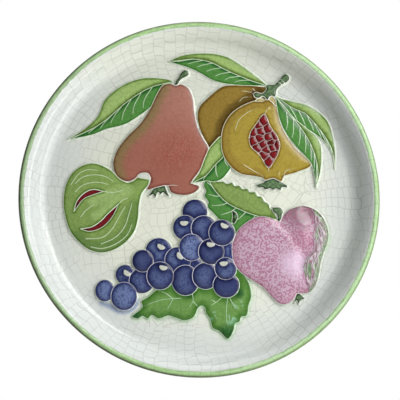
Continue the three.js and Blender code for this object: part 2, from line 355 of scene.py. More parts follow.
for seed in seeds:
    others = seeds[(seeds != seed).any(1)] - seed
    rim = opening - seed
    rim_angle = np.arctan2(rim[:, 1], rim[:, 0])
    outline = []
    for angle in np.linspace(-math.pi, math.pi, seed_sides, endpoint=False):
        ahead = others @ (math.cos(angle), math.sin(angle))
        shared = (others**2).sum(1)[ahead > 0.1] / 2 / ahead[ahead > 0.1]
        turn = np.abs((rim_angle - angle + math.pi) % (2 * math.pi) - math.pi)
        to_rim = np.linalg.norm(rim[turn < 0.12], axis=1)
        reach = min([*shared, *to_rim, widest_seed])
        outline.append(seed + np.array((math.cos(angle), math.sin(angle))) * reach)
    figure("seed", curve(outline, closed=True), 2.8, 3.9, 3, border=0.36)

# The two leaves on the right, on the pomegranate and on the field
leaf(
    [(78, 107.5), (94.5, 95), (108.5, 88.5), (118, 78.5), (126.5, 67.5), (133, 56.5), (136.5, 47),
     (138, 31)],
    [(84.5, 104), (97.5, 101), (111, 97.5), (122, 90.5), (131, 81), (136, 67.5), (138.5, 49.5)],
    [(86.5, 91.5), (97.5, 81.5), (110.5, 72), (123, 64), (131.5, 54.5), (136, 44.5)],
    veins=8, vein_reach=0.9, edge=1.1,
)
leaf(
    [(78.5, 106), (83, 99.5), (90.5, 88.5), (99, 79.5), (106.5, 69), (113, 57.5), (118.5, 42),
     (120.5, 27.5), (118.5, 12)],
    [(86.5, 96.5), (97, 83.5), (109, 73.5), (120, 64), (124, 54.5), (124.5, 42), (123, 27.5)],
    [(80, 92.5), (82.5, 81), (88.5, 67.5), (97.5, 55), (107, 44.5), (114, 35.5), (117, 23.5)],
    veins=8, vein_reach=0.9, edge=2.0,
)

# The woody branch with its knob, rings and forks, and two scraps of pale husk below it
for husk in (
    [(70.5, 104), (74, 106.5), (77.5, 104), (78.5, 96), (75, 100)],
    [(57.5, 101), (61.5, 104), (65, 104), (66.5, 101.5), (62, 100.5)],
):
    figure("husk", curve(husk, closed=True), 1.4, 1.7, 2)
branch = figure(
    "stem",
    curve([
        (88, 129.5), (91.5, 128), (92.5, 124.5), (90.5, 121.5), (87.5, 120), (82, 116), (79.2, 112),
        (79, 108.5), (77.5, 105.5), (74.5, 106.5), (72.5, 105.5), (71, 102.5), (69, 102.5), (67, 105.5),
        (64.5, 106), (61.5, 104), (58, 104.5), (56, 106.5), (56.2, 109), (58.5, 110.5), (64, 109.2),
        (67.5, 111.5), (69, 114), (68.5, 116.5), (71, 118.5), (77.5, 119), (80, 121), (83.5, 125),
        (85.2, 127.6),
    ], closed=True),
    1.6, 3.0, 3, border=0.55,
)
branch.line([(83.5, 125), (85.5, 122.5), (88, 120.5)], 0.34, 0.4)
branch.line([(81, 122), (83, 120), (85.5, 118.5)], 0.34, 0.4)

# The grapes as x, z, half width, half height, rank and paleness: a higher rank hangs nearer. Each
# gleam, as x, z and turn, is a spot of bare slip on the first grape that holds it.
grapes = [
    (-4, -14.2, 12.6, 12.6, 0, 0.3), (29, -54, 8, 11, 0, 0.9), (-3.5, -66.5, 6, 6, 0, 0.7),
    (-40, -54.2, 13.2, 13.2, 0, 0.6), (-73, -78, 9.6, 9.9, 0, 0.6), (-14, -30.5, 12, 12.6, 1, 0.5),
    (5, -31, 13, 12.8, 1, 0.35), (-21, -63, 13, 13, 1, 0.6), (-93, -94, 9.5, 10.9, 1, 0.8),
    (-56.6, -84, 12.6, 12.6, 1, 0.4), (-13.5, -83.4, 13.8, 15.2, 2, 0.25),
    (-7.5, -50.5, 12.4, 13.6, 2, 0.9),
    (-55.8, -64.2, 10.5, 11.2, 2, 0.1), (-38.5, -79, 13.3, 14, 2, 0.3), (6.5, -79, 13.2, 13.4, 2, 0.3),
    (27, -88, 13.2, 12.6, 2, 0), (12.2, -54.6, 12.9, 13, 2, 0.15), (26.5, -71.5, 11, 11.2, 2, 0.5),
    (-74, -99.5, 12.9, 14, 2, 0.75), (22.9, -35.5, 13.2, 13.2, 3, 0.25),
]
gleams = [
    (-15, -26.5, 0), (25, -29, -0.4), (11.5, -48, -0.1), (-38, -50.5, -0.5), (-19.5, -59.5, -0.9),
    (-71.5, -77, -0.6), (-35.5, -71.5, -0.2), (24.5, -67, 0.1),
]
rank_step = 0.4
gleamed = set()
for x, z, half_width, half_height, rank, pale in grapes:
    lift = rank_step * rank
    figure(
        "grape",
        curve([
            (x + half_width * math.cos(a), z + half_height * math.sin(a))
            for a in np.linspace(0, 2 * math.pi, 17)[:-1]
        ], closed=True),
        1.3 + lift, 3.0 + lift, min(half_width, half_height) * 0.9,
        tint=lambda p, pale=pale: np.full(len(p), pale), border=0.42,
    )
    for gleam in gleams:
        gleam_x, gleam_z, turn = gleam
        held = math.hypot((gleam_x - x) / half_width, (gleam_z - z) / half_height) < 0.62
        if held and gleam not in gleamed:
            gleamed.add(gleam)
            across = np.array((math.cos(turn), math.sin(turn)))
            up = np.array((-math.sin(turn), math.cos(turn)))
            spot = [
                (gleam_x, gleam_z) + across * 4.1 * math.cos(a) + up * (2.2 * math.sin(a) + math.cos(a) ** 2)
                for a in np.linspace(0, 2 * math.pi, 11)[:-1]
            ]
            figure("slip", curve(spot, closed=True), 3.0 + lift, 3.5 + lift, 2, border=0.3)

# The apple, with its calyx and stem, and hollowed beside the wrinkles along its right side
figure(
    "stem",
    curve([(74, -9.5), (77, -9), (82, -9.5), (84.5, -13.5), (83.5, -17.5), (82.5, -25), (78.5, -25),
           (79, -19), (77.5, -16), (74.5, -14)], closed=True),
    1.4, 2.4, 2,
)
figure(
    "stem",
    curve([(99, -94), (101.5, -97), (105, -101), (102.5, -102), (100.5, -103.5), (99, -106.5),
           (97, -103), (94.5, -106), (95, -102), (96, -97)], closed=True),
    1.4, 2.2, 2, border=0.45,
)
apple = figure(
    "apple",
    curve([
        (33, -49), (35, -41.5), (38.5, -33.5), (45.5, -26.5), (54, -21), (62.5, -18.5), (71.5, -20),
        (81, -23.5), (83.5, -20), (89.5, -12.5), (97, -9), (105.5, -7.5), (114.5, -10), (122, -15.5),
        (127.5, -24.5), (130, -35), (128.5, -46), (124.5, -56), (121.5, -66), (119.5, -77),
        (116, -87.5), (110, -94.5), (102.5, -96), (97.5, -96), (94.5, -101), (90, -105), (83.5, -107),
        (77.5, -104.5), (71, -98), (63, -89.5), (49, -80.5), (39.5, -73), (34.5, -64.5),
    ], closed=True),
    1.9, 4.9, 34,
    tint=lambda p: inside(p, curve([
        (111, -4), (115.5, -11.7), (116.9, -20), (116.7, -28), (115.1, -37), (115.2, -51.5),
        (108.4, -59.7), (104.8, -68.3), (105.5, -76.9), (107.7, -84), (112, -100), (130, -92),
        (136, -45), (132, -10),
    ], closed=True)).astype(float),
)
for fold in (
    [(113.5, -9.5), (116.7, -17), (116.7, -28), (115.1, -37), (115.2, -51.5), (108.4, -59.7),
     (104.8, -68.3), (105.5, -76.9), (107.7, -84)],
    [(117.5, -22), (118.4, -26), (119.8, -36.7), (122.7, -44)],
    [(119, -24), (123.4, -31), (124.8, -36.7)],
    [(116.3, -55.4), (110.5, -61.5), (108, -69.7), (108.6, -75.5), (111.5, -81.2)],
    [(122.2, -54), (117.7, -59.7), (114.1, -68.3), (112, -74)],
    [(119, -64), (116.5, -73), (113, -82)],
):
    apple.line(fold, 0.36, 0.5)
apple.line([(81, -23.5), (85, -25), (89.5, -26)], 0.4, 0.3)
apple_hollows = (
    ([(110, -15), (116, -27), (115, -40), (111, -50), (105, -58), (103, -68), (106, -80)], 2.0, 9),
    ([(83, -24), (91, -35), (99, -46), (104, -56)], 0.9, 5),
)

# The fig, cut in two slits, with the long lines of its skin running to its neck
fig_shade = curve([(-122, -42), (-105, -52), (-85, -48), (-70, -34), (-64, -10)])
fig = figure(
    "fig",
    curve([
        (-107, 34.5), (-97, 32), (-87, 26), (-79.5, 18.5), (-70.5, 15), (-65, 17.5), (-61.5, 21.5),
        (-58, 24), (-51.5, 24), (-50, 18.5), (-51, 13), (-57.5, 4), (-60, -8), (-61, -22),
        (-64.5, -34.5), (-72, -44.5), (-83, -52.5), (-95, -56), (-107.5, -54), (-118.5, -46.5),
        (-128, -35), (-134, -17.5), (-135.5, -3.5), (-133.5, 12), (-127.5, 24), (-118.5, 31.5),
    ], closed=True),
    1.3, 3.1, 24,
    tint=lambda p: np.maximum(
        smooth(1 - distance(p, curve([(-74, 6), (-84, 2), (-104, -2)])) / 15),
        smooth(1 - distance(p, curve([(-104, -20), (-90, -10), (-80, 2)])) / 8),
    ) - smooth(1 - distance(p, fig_shade) / 15),
)
for skin_line in (
    [(-128.5, 12), (-121, 23), (-112.5, 27.5), (-101, 27)],
    [(-124.5, 13), (-116.5, 20), (-104.5, 22.5), (-93.5, 20.5), (-84, 14.5)],
    [(-124, 4.5), (-117.5, 11), (-107, 14.5), (-98, 14.4), (-89.5, 12)],
    [(-118.5, -21), (-112.5, -13.5), (-104, -7.5)],
    [(-112.5, -42.5), (-96.5, -41), (-87, -33), (-80, -20.5), (-72.5, -7)],
    [(-98, -48), (-83.5, -41), (-74.5, -30.5), (-70, -17), (-66.5, -3.5)],
    [(-108, -50.5), (-96.5, -52), (-83, -47.5), (-71.5, -38), (-66.5, -26)],
    [(-95.5, 5.5), (-86, 4.5), (-75, 7.5)],
    [(-80.5, -7), (-76, -3), (-71, -1)],
):
    fig.line(skin_line, 0.5, 0.4)
for upper, lower in (
    ([(-125, -15.5), (-122, -4.5), (-114.5, 4), (-106, 7.5), (-95.5, 5.5)],
     [(-106, 2), (-115.5, -2.5)]),
    ([(-80.5, -7), (-85, -17.5), (-91.5, -26.5), (-99.5, -32.5), (-109, -35), (-118.5, -32.5)],
     [(-107, -30.5), (-98, -24.5), (-90.5, -16.5)]),
):
    figure(
        "flesh", np.vstack([curve(upper), curve([upper[-1], *lower, upper[0]])[1:-1]]),
        2.6, 2.6, 2,
    )
figure(
    "slip", curve([(-62, 21), (-59.5, 24.2), (-51.2, 24.4), (-49.6, 19), (-56, 19.2)], closed=True),
    1.9, 2.1, 2,
)


# Plate, the face: the field and its relief, of one clay. It is a height above the field at every
# point of a net that follows the slip lines, with closer points beside them. The net runs up the
# foot of the wall, and its rim is the ring where the turned part of the body starts.
lip_radius = 3.0
wall_slope = math.radians(58)
lip_slope = math.radians(24)
cove_radius = 16
flare_radius = 26
lip_middle = 177
straight_wall = 1.4
flare_middle = lip_middle + (flare_radius - lip_radius) * math.sin(lip_slope)
field_radius = (
    flare_middle - (flare_radius + cove_radius) * math.sin(wall_slope)
    - straight_wall * math.cos(wall_slope)
)
field_height = 14.5
cove_height = field_height + cove_radius
net_lean = math.radians(32)
net_radius = field_radius + cove_radius * math.sin(net_lean)
turns = 360


def topmost(points):
    """The nearest figure over each point, and -1 on the bare field"""
    top = np.full(len(points), -1)
    for i, f in enumerate(figures):
        top[inside(points, f.outline)] = i
    return top


def beside(path):
    """The direction across a path at each of its points"""
    along = np.gradient(path, axis=0)
    along /= np.maximum(np.linalg.norm(along, axis=1), 1e-9)[:, None]
    return np.column_stack([-along[:, 1], along[:, 0]])


# The facts of each point on a line: its figure, its half width and rise, whether it is white slip,
# whether it is an outline, how far along the line it is, and whether bare field lies beside it
figure_at, half_at, rise_at, _, outer_at, along_at = range(6)
taper = 0.5
samples, sides, facts = [], [], []
for i, f in enumerate(figures):
    closed = evenly(np.vstack([f.outline, f.outline[:1]]), sample_step)
    drawn = [(closed, f.border, f.edge + 0.4, True, True)]
    drawn += [(path, half, rise, white, False) for path, half, rise, white in f.lines]
    for path, half, rise, white, outer in drawn:
        samples.append(path)
        sides.append(beside(path))
        thinning = 1 - (0 if outer or not white else taper) * np.linspace(0, 1, len(path)) ** 4
        facts.append(np.column_stack([
            np.full(len(path), i), half * thinning, rise * np.where(outer, 1, thinning),
            np.full(len(path), white), np.full(len(path), outer), np.arange(len(path)) * sample_step,
        ]))
samples, sides, facts = (np.vstack(part) for part in (samples, sides, facts))
seen = topmost(samples) <= facts[:, figure_at]
samples, sides, facts = samples[seen], sides[seen], facts[seen]
just_off = 1.3
on_bare = np.minimum(topmost(samples + sides * just_off), topmost(samples - sides * just_off)) < 0
on_bare &= facts[:, outer_at] > 0
facts[on_bare, half_at] = 0.85
facts[on_bare, rise_at] -= 0.2
facts = np.column_stack([facts, on_bare])

every = 3
near_shares = (0, 1, -1, 0.5, -0.5, 2.1, -2.1)
far_shares = (3.6, -3.6)
near_lines, far_lines = (
    np.vstack([
        samples[::every] + sides[::every] * facts[::every, half_at, None] * share for share in shares
    ])
    for shares in (near_shares, far_shares)
)
spacing = 2.4
lattice_rows, lattice_reach = 78, 162
lattice = np.array([
    (x + (spacing / 2 if k % 2 else 0), k * spacing * 0.866)
    for k in range(-lattice_rows, lattice_rows + 1)
    for x in np.arange(-lattice_reach, lattice_reach, spacing)
])
candidates = np.vstack([near_lines, far_lines, lattice])
own_space = np.repeat([0.3, 0.6, 1.5], [len(near_lines), len(far_lines), len(lattice)])
in_field = np.hypot(*candidates.T) < net_radius - 1.2
candidates, own_space = candidates[in_field], own_space[in_field]

cell = 1.5
taken = {}
kept = []
for (x, z), space in zip(candidates, own_space):
    column, row = math.floor(x / cell), math.floor(z / cell)
    free = all(
        (x - other_x) ** 2 + (z - other_z) ** 2 >= space * space
        for i in (column - 1, column, column + 1) for k in (row - 1, row, row + 1)
        for other_x, other_z in taken.get((i, k), ())
    )
    if free:
        taken.setdefault((column, row), []).append((x, z))
        kept.append((x, z))
rim = [
    (net_radius * math.cos(a), net_radius * math.sin(a))
    for a in np.linspace(0, 2 * math.pi, turns, endpoint=False)
]
net = delaunay_2d_cdt([Vector(p) for p in rim + kept], [], [], 0, 1e-5)
points = np.array([tuple(v) for v in net[0]])
triangles = np.array(net[2])

top = topmost(points)
height = np.zeros(len(points))
tint = np.zeros(len(points))
for i, f in enumerate(figures):
    mine = np.flatnonzero(top == i)
    if len(mine):
        rise = 1 - np.clip(distance(points[mine], f.outline) / f.reach, 0, 1)
        height[mine] = f.edge + (f.crown - f.edge) * np.sqrt(1 - rise * rise)
        if f.tint:
            tint[mine] = f.tint(points[mine])

for hollow, depth, reach in apple_hollows:
    mine = np.flatnonzero(top == figures.index(apple))
    height[mine] -= depth * np.exp(-(distance(points[mine], curve(hollow)) / reach) ** 2)

lines = tree_of(samples)
is_outer = facts[:, outer_at] > 0
outlines = tree_of(samples[is_outer])
along_outlines = facts[is_outer, along_at]
line_facts = facts.tolist()
line_reach = 1.7
no_line = 9.0
line_share = np.full(len(points), no_line)
line_distance = np.zeros(len(points))
along_line = np.zeros(len(points))
raised = height.copy()
for i, (x, z) in enumerate(points):
    _, index, line_distance[i] = outlines.find((x, z, 0))
    along_line[i] = along_outlines[index]
    if lines.find((x, z, 0))[2] < line_reach:
        for _, index, gap in lines.find_range((x, z, 0), line_reach):
            owner, half, rise, white, outer, _, bare_side = line_facts[index]
            if gap < half * 2 and owner >= top[i] and white:
                line_share[i] = min(line_share[i], gap / half + 0.5 * bare_side)
            if gap < half and owner >= top[i]:
                if outer:
                    raised[i] = max(raised[i], rise * math.sqrt(1 - (gap / half) ** 2))
                elif owner == top[i]:
                    raised[i] = max(raised[i], height[i] + rise * (1 - (gap / half) ** 2))

# The drawing lies a little to the left of the middle and is stretched a little to fit
fitted_radius = 146
stretch, shift = (0.003, 0.002), (-0.6, -0.28)
loose = 1 - smooth((np.hypot(*points.T) - fitted_radius) / (net_radius - fitted_radius))
laid = points + (points * stretch + shift) * loose[:, None]
outwards = np.clip(np.hypot(*laid.T) - field_radius, 0, None)
raised += cove_radius - np.sqrt(cove_radius**2 - outwards**2)
rim_rise = cove_radius * (1 - math.cos(net_lean))

# Glaze that ran out on the field: green round the vine leaf and the apple, blue by the last grapes
bare = np.flatnonzero(top < 0)
greens = np.vstack([vine.outline, curve([(128, -28), (130, -40), (126, -52)])])
tint[bare] = 0.55 * smooth(1 - distance(points[bare], greens) / 5)
blues = curve([(-96, -106), (-86, -110), (-78, -114), (-66, -112), (-60, -104)])
tint[bare] -= smooth(1 - distance(points[bare], blues) / 6)


# Plate, the turned body: the wall, the lip, the underside and the back, of the same clay as the
# face. They are its rim turned round the axis, with the same curves as the CAD part, and the foot
# ring is turned and drilled on its own.
def section_arc(middle_radius, middle_height, radius, start, end, steps):
    """Part of a circle in the plate's section, from one lean to another"""
    leans = np.linspace(start, end, steps + 1)
    return [(middle_radius - radius * math.sin(a), middle_height + radius * math.cos(a)) for a in leans]


flare_height = (
    cove_height - cove_radius * math.cos(wall_slope) + straight_wall * math.sin(wall_slope)
    - flare_radius * math.cos(wall_slope)
)
lip_height = flare_height + (flare_radius - lip_radius) * math.cos(lip_slope)
wall = 6
foot_height = 8
section = [
    *section_arc(field_radius, cove_height, -cove_radius, net_lean, wall_slope, 5)[1:],
    *section_arc(flare_middle, flare_height, flare_radius, wall_slope, lip_slope, 10),
    *section_arc(lip_middle, lip_height, lip_radius, lip_slope, lip_slope - math.pi, 14)[1:],
    *section_arc(flare_middle, flare_height, flare_radius - wall, lip_slope, wall_slope, 6)[1:],
    *section_arc(field_radius, cove_height, -cove_radius - wall, wall_slope, 0, 6),
    (130, foot_height), (70, foot_height), (0, foot_height),
]
foot_radius, foot_inside, foot_middle = 112, 104, 108
foot_section = [
    (112.8, 9), (112.6, 8), (112.2, 7.7), (112, 7.2), (112, 1.2), (111.7, 0.45), (110.8, 0),
    (105.2, 0), (104.3, 0.45), (104, 1.2), (104, 7.2), (103.8, 7.7), (103.4, 8), (103.2, 9),
]
wire_hole = 3.5
wire_holes_apart = 60
lip_edge = 173.0


def turned(outline, closed):
    """A surface turned from an outline of radii and heights, once round the plate's axis"""
    shape = bmesh.new()
    verts = [shape.verts.new((radius, -high, 0)) for radius, high in outline]
    pairs = list(zip(verts, verts[1:])) + ([(verts[-1], verts[0])] if closed else [])
    bmesh.ops.spin(
        shape, geom=verts + [shape.edges.new(pair) for pair in pairs], cent=(0, 0, 0), axis=(0, -1, 0),
        angle=2 * math.pi, steps=turns, use_merge=True,
    )
    bmesh.ops.recalc_face_normals(shape, faces=shape.faces)
    return shape


glazes = [
    "ground", "slip", "vine", "leaf_light", "leaf_dark", "stem", "back_fruit", "pear", "front_fruit",
    "seed", "husk", "grape", "apple", "fig", "flesh", "lip", "clay",
]
mesh = bmesh.new()
layers = {
    name: mesh.verts.layers.float.new(name)
    for name in ("tint", "line_share", "line_distance", "along_line")
}
face_verts = [mesh.verts.new((x, -field_height - up, z)) for (x, z), up in zip(laid, raised)]
for corners, owner in zip(triangles, topmost(points[triangles].mean(1))):
    face = mesh.faces.new([face_verts[i] for i in corners])
    face.material_index = glazes.index(figures[owner].glaze) if owner >= 0 else 0
for vert, *values in zip(face_verts, tint, line_share, line_distance, along_line):
    for name, value in zip(layers, values):
        vert[layers[name]] = value
face_count = len(mesh.faces)
body = bpy.data.meshes.new("turned_body")
turned([(net_radius, field_height + rim_rise), *section], closed=False).to_mesh(body)
mesh.from_mesh(body)
bpy.data.meshes.remove(body)

# The foot ring is turned on its own, and the two wire holes are drilled through it
ring_mesh = turned(foot_section, closed=True)
drill_mesh = bmesh.new()
for side in (-1, 1):
    place = Matrix.Rotation(side * math.asin(wire_holes_apart / 2 / foot_middle), 4, "Y")
    place @= Matrix.Translation((0, -foot_height / 2, foot_middle))
    bmesh.ops.create_cone(
        drill_mesh, cap_ends=True, segments=24, radius1=wire_hole / 2, radius2=wire_hole / 2,
        depth=2 * (foot_radius - foot_inside), matrix=place,
    )
ring, drill = (bpy.data.objects.new(name, bpy.data.meshes.new(name)) for name in ("ring", "drill"))
for holder, shape in ((ring, ring_mesh), (drill, drill_mesh)):
    shape.to_mesh(holder.data)
    shape.free()
    bpy.context.scene.collection.objects.link(holder)
holes = ring.modifiers.new("holes", "BOOLEAN")
holes.object = drill
holes.solver = "EXACT"
drilled = ring.evaluated_get(bpy.context.evaluated_depsgraph_get())
mesh.from_mesh(drilled.to_mesh())
bpy.data.objects.remove(ring)
bpy.data.objects.remove(drill)

mesh.faces.ensure_lookup_table()
far_off = 30.0
for vert in {vert for face in mesh.faces[face_count:] for vert in face.verts}:
    vert[layers["line_share"]] = no_line
    vert[layers["line_distance"]] = far_off
for face in mesh.faces[face_count:]:
    middle = face.calc_center_median()
    radius = math.hypot(middle.x, middle.z)
    if radius > lip_edge and -middle.y > lip_height - lip_radius:
        face.material_index = glazes.index("lip")
    elif middle.y > -0.1 and foot_inside < radius < foot_radius:
        face.material_index = glazes.index("clay")
bmesh.ops.remove_doubles(mesh, verts=mesh.verts, dist=0.002)
bmesh.ops.recalc_face_normals(mesh, faces=mesh.faces)
millimetre = 0.001
bmesh.ops.scale(mesh, vec=(millimetre,) * 3, verts=mesh.verts)
bmesh.ops.translate(mesh, vec=plate_centre, verts=mesh.verts)
for face in mesh.faces:
    face.smooth = True
plate_data = bpy.data.meshes.new("glazed_plate")
mesh.to_mesh(plate_data)
mesh.free()
plate = bpy.data.objects.new("glazed_plate", plate_data)
bpy.context.scene.collection.objects.link(plate)
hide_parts("plate")
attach(plate, "root")


# Plate, the glazes: each has a colour that pools darker beside the slip lines, turns to a
# second colour by the tint, and is mottled. White slip shows through on the lines, and one crackle
# runs through all of them, in even bricks on the wall and in turned patches of bricks on the face.
class Nodes:
    """Short ways to add nodes to one material"""

    def __init__(self, tree):
        self.tree = tree

    def add(self, kind, values=(), **settings):
        node = self.tree.nodes.new(kind)
        for name, value in settings.items():
            setattr(node, name, value)
        for socket, value in dict(values).items():
            if isinstance(value, bpy.types.NodeSocket):
                self.tree.links.new(value, node.inputs[socket])
            else:
                node.inputs[socket].default_value = value
        return node

    def math(self, operation, a, b=0.0, c=0.0):
        return self.add("ShaderNodeMath", {0: a, 1: b, 2: c}, operation=operation).outputs[0]

    def ramp(self, value, low, high, to_low=0.0, to_high=1.0):
        return self.add(
            "ShaderNodeMapRange", {0: value, 1: low, 2: high, 3: to_low, 4: to_high},
            interpolation_type="SMOOTHSTEP",
        ).outputs[0]

    def mix(self, share, a, b, blend="MIX"):
        node = self.add("ShaderNodeMix", {0: share, 6: a, 7: b}, data_type="RGBA", blend_type=blend)
        return node.outputs[2]

    def noise(self, where, scale, detail=2.0, rough=0.5, distortion=0.0):
        return self.add("ShaderNodeTexNoise", {
            "Vector": where, "Scale": scale, "Detail": detail, "Roughness": rough, "Distortion": distortion,
        }).outputs["Fac"]

    def attribute(self, name):
        return self.add("ShaderNodeAttribute", attribute_name=name).outputs["Fac"]

    def from_spot(self, where, spot):
        """How far off a spot on the plate is"""
        return self.add("ShaderNodeVectorMath", {0: where, 1: spot}, operation="DISTANCE").outputs[1]

    def stretched(self, where, scales):
        return self.add("ShaderNodeVectorMath", {0: where, 1: scales}, operation="MULTIPLY").outputs[0]

    def moved(self, where, step):
        return self.add("ShaderNodeVectorMath", {0: where, 1: step}, operation="ADD").outputs[0]

    def from_axis(self, axis):
        """How far off the plate's axis is"""
        squares = self.math("MULTIPLY", axis.outputs[2], axis.outputs[2])
        return self.math("SQRT", self.math("MULTIPLY_ADD", axis.outputs[0], axis.outputs[0], squares))

    def ragged(self, value, where, scale, amount):
        """A value made uneven by a noise"""
        off = self.math("SUBTRACT", self.noise(where, scale), 0.5)
        return self.math("ADD", value, self.math("MULTIPLY", off, amount))

    def toned(self, colour, tone):
        """A colour made darker or lighter"""
        tones = self.add("ShaderNodeCombineXYZ", {0: tone, 1: tone, 2: tone}).outputs[0]
        return self.mix(1.0, colour, tones, "MULTIPLY")


def srgb(red, green, blue):
    """A colour as 0 to 255 screen values, in the linear values that nodes take"""
    return tuple(
        v / 12.92 if v <= 0.04045 else ((v + 0.055) / 1.055) ** 2.4
        for v in (red / 255, green / 255, blue / 255)
    ) + (1.0,)


from_centre = tuple(-plate_centre)
crackle = bpy.data.node_groups.new("crackle", "ShaderNodeTree")
crackle.interface.new_socket("Line", in_out="OUTPUT", socket_type="NodeSocketFloat")
kit = Nodes(crackle)
place = kit.add("ShaderNodeTexCoord").outputs["Object"]
centred = kit.moved(place, from_centre)
bent = kit.add("ShaderNodeTexNoise", {"Vector": centred, "Scale": 22.0, "Detail": 2.0}).outputs["Color"]
warped = kit.moved(centred, kit.stretched(bent, (0.02, 0.0, 0.02)))
axis = kit.add("ShaderNodeSeparateXYZ", {0: warped})
radius = kit.from_axis(axis)
angle = kit.math("ARCTAN2", axis.outputs[2], axis.outputs[0])
flat = kit.add("ShaderNodeCombineXYZ", {0: axis.outputs[0], 1: axis.outputs[2]}).outputs[0]
wall_middle = 0.165
wall_start = 0.122
round_rim = kit.add("ShaderNodeCombineXYZ", {
    0: radius, 1: kit.math("MULTIPLY", angle, wall_middle),
}).outputs[0]


def cracks(where, row, brick):
    """How near a long crack is, or one of the short cracks that join it to the next long one"""
    parts = kit.add("ShaderNodeSeparateXYZ", {0: where})
    across = kit.math("DIVIDE", parts.outputs[1], row)
    row_number = kit.math("FLOOR", across)
    random = kit.add("ShaderNodeTexWhiteNoise", {"W": row_number}, noise_dimensions="1D").outputs[0]
    along = kit.math("MULTIPLY_ADD", parts.outputs[0], 1 / brick, kit.math("MULTIPLY", random, 9.0))
    to_long = kit.math("MULTIPLY", kit.math("PINGPONG", across, 0.5), row)
    to_short = kit.math("MULTIPLY", kit.math("PINGPONG", along, 0.5), brick)
    return kit.math("MINIMUM", to_long, to_short)


patch_scale = 26.0
patch = kit.add("ShaderNodeTexVoronoi", {"Vector": flat, "Scale": patch_scale}, voronoi_dimensions="2D")
patch_edge = kit.add("ShaderNodeTexVoronoi", {"Vector": flat, "Scale": patch_scale},
                     feature="DISTANCE_TO_EDGE", voronoi_dimensions="2D").outputs["Distance"]
patch_random = kit.add("ShaderNodeSeparateXYZ", {0: patch.outputs["Color"]}).outputs[0]
patch_turn = kit.math("MULTIPLY", patch_random, 6.3)
turned_flat = kit.add("ShaderNodeVectorRotate", {"Vector": flat, "Angle": patch_turn},
                      rotation_type="Z_AXIS").outputs[0]
between_patches = kit.math("DIVIDE", patch_edge, patch_scale)
on_face = kit.math("MINIMUM", cracks(turned_flat, 0.012, 0.0085), between_patches)
on_wall = cracks(round_rim, 0.0105, 0.0065)
outward = kit.math("GREATER_THAN", radius, wall_start)
near = kit.add("ShaderNodeMix", {0: outward, 2: on_face, 3: on_wall}).outputs[0]
fading = kit.ramp(kit.noise(centred, 26.0), 0.3, 0.62, 0.35, 1.0)
line = kit.math("MULTIPLY", kit.ramp(near, 0.0001, 0.0006, 1.0, 0.0), fading)
crackle.links.new(line, kit.add("NodeGroupOutput").inputs[0])


def glaze(name, colour, pooled, second=None, pool_reach=3.0, mottle=0.12, crackled=0.2,
          roughness=0.14, slip=(222, 226, 214), wrinkles=0.0):
    """The plate's next glaze: its colour or how it is painted, its colour where it pools beside the
    lines, and its second colour"""
    material = bpy.data.materials.new(name)
    material.use_nodes = True
    nodes = Nodes(material.node_tree)
    shader = material.node_tree.nodes["Principled BSDF"]
    where = nodes.add("ShaderNodeTexCoord").outputs["Object"]
    made = colour(nodes, where) if callable(colour) else srgb(*colour)
    if second:
        tinted = nodes.ragged(nodes.attribute("tint"), where, 300.0, 0.35)
        made = nodes.mix(nodes.ramp(tinted, 0.15, 0.85), made, srgb(*second))
    beside_line = nodes.ragged(nodes.attribute("line_distance"), where, 220.0, 2.2)
    pool = nodes.ramp(beside_line, 0.4, pool_reach, 1.0, 0.0)
    made = nodes.mix(pool, made, nodes.mix(1.0, made, srgb(*pooled), "MULTIPLY"))
    cloud = nodes.ramp(nodes.noise(where, 420.0, 4.0, 0.65), 0.3, 0.7, 1.0 - mottle, 1.0 + mottle)
    made = nodes.toned(made, cloud)
    if slip:
        on_line = nodes.ragged(nodes.attribute("line_share"), where, 700.0, 0.35)
        made = nodes.mix(nodes.ramp(on_line, 0.55, 1.0, 1.0, 0.0), made, srgb(*slip))
    group = nodes.add("ShaderNodeGroup", node_tree=crackle)
    crack = nodes.math("MULTIPLY", group.outputs[0], crackled)
    made = nodes.mix(crack, made, nodes.mix(1.0, made, srgb(120, 116, 104), "MULTIPLY"))
    material.node_tree.links.new(made, shader.inputs["Base Color"])
    shader.inputs["Roughness"].default_value = roughness
    shader.inputs["IOR"].default_value = 1.5
    ripple = nodes.add("ShaderNodeBump", {
        "Height": nodes.noise(where, 55.0, 2.0), "Strength": 0.35, "Distance": 0.0006,
    }).outputs[0]
    if wrinkles:
        folds = nodes.noise(nodes.stretched(where, (1, 1, 0.4)), 190.0, 2.0, 0.5, 1.2)
        folds = nodes.math("MULTIPLY", folds, nodes.attribute("tint"))
        ripple = nodes.add("ShaderNodeBump", {
            "Height": folds, "Strength": 1.0, "Distance": wrinkles, "Normal": ripple,
        }).outputs[0]
    grain = nodes.add("ShaderNodeBump", {
        "Height": nodes.noise(where, 330.0, 2.0), "Strength": 0.25, "Distance": 0.00012,
        "Normal": ripple,
    }).outputs[0]
    material.node_tree.links.new(grain, shader.inputs["Normal"])
    plate_data.materials.append(material)


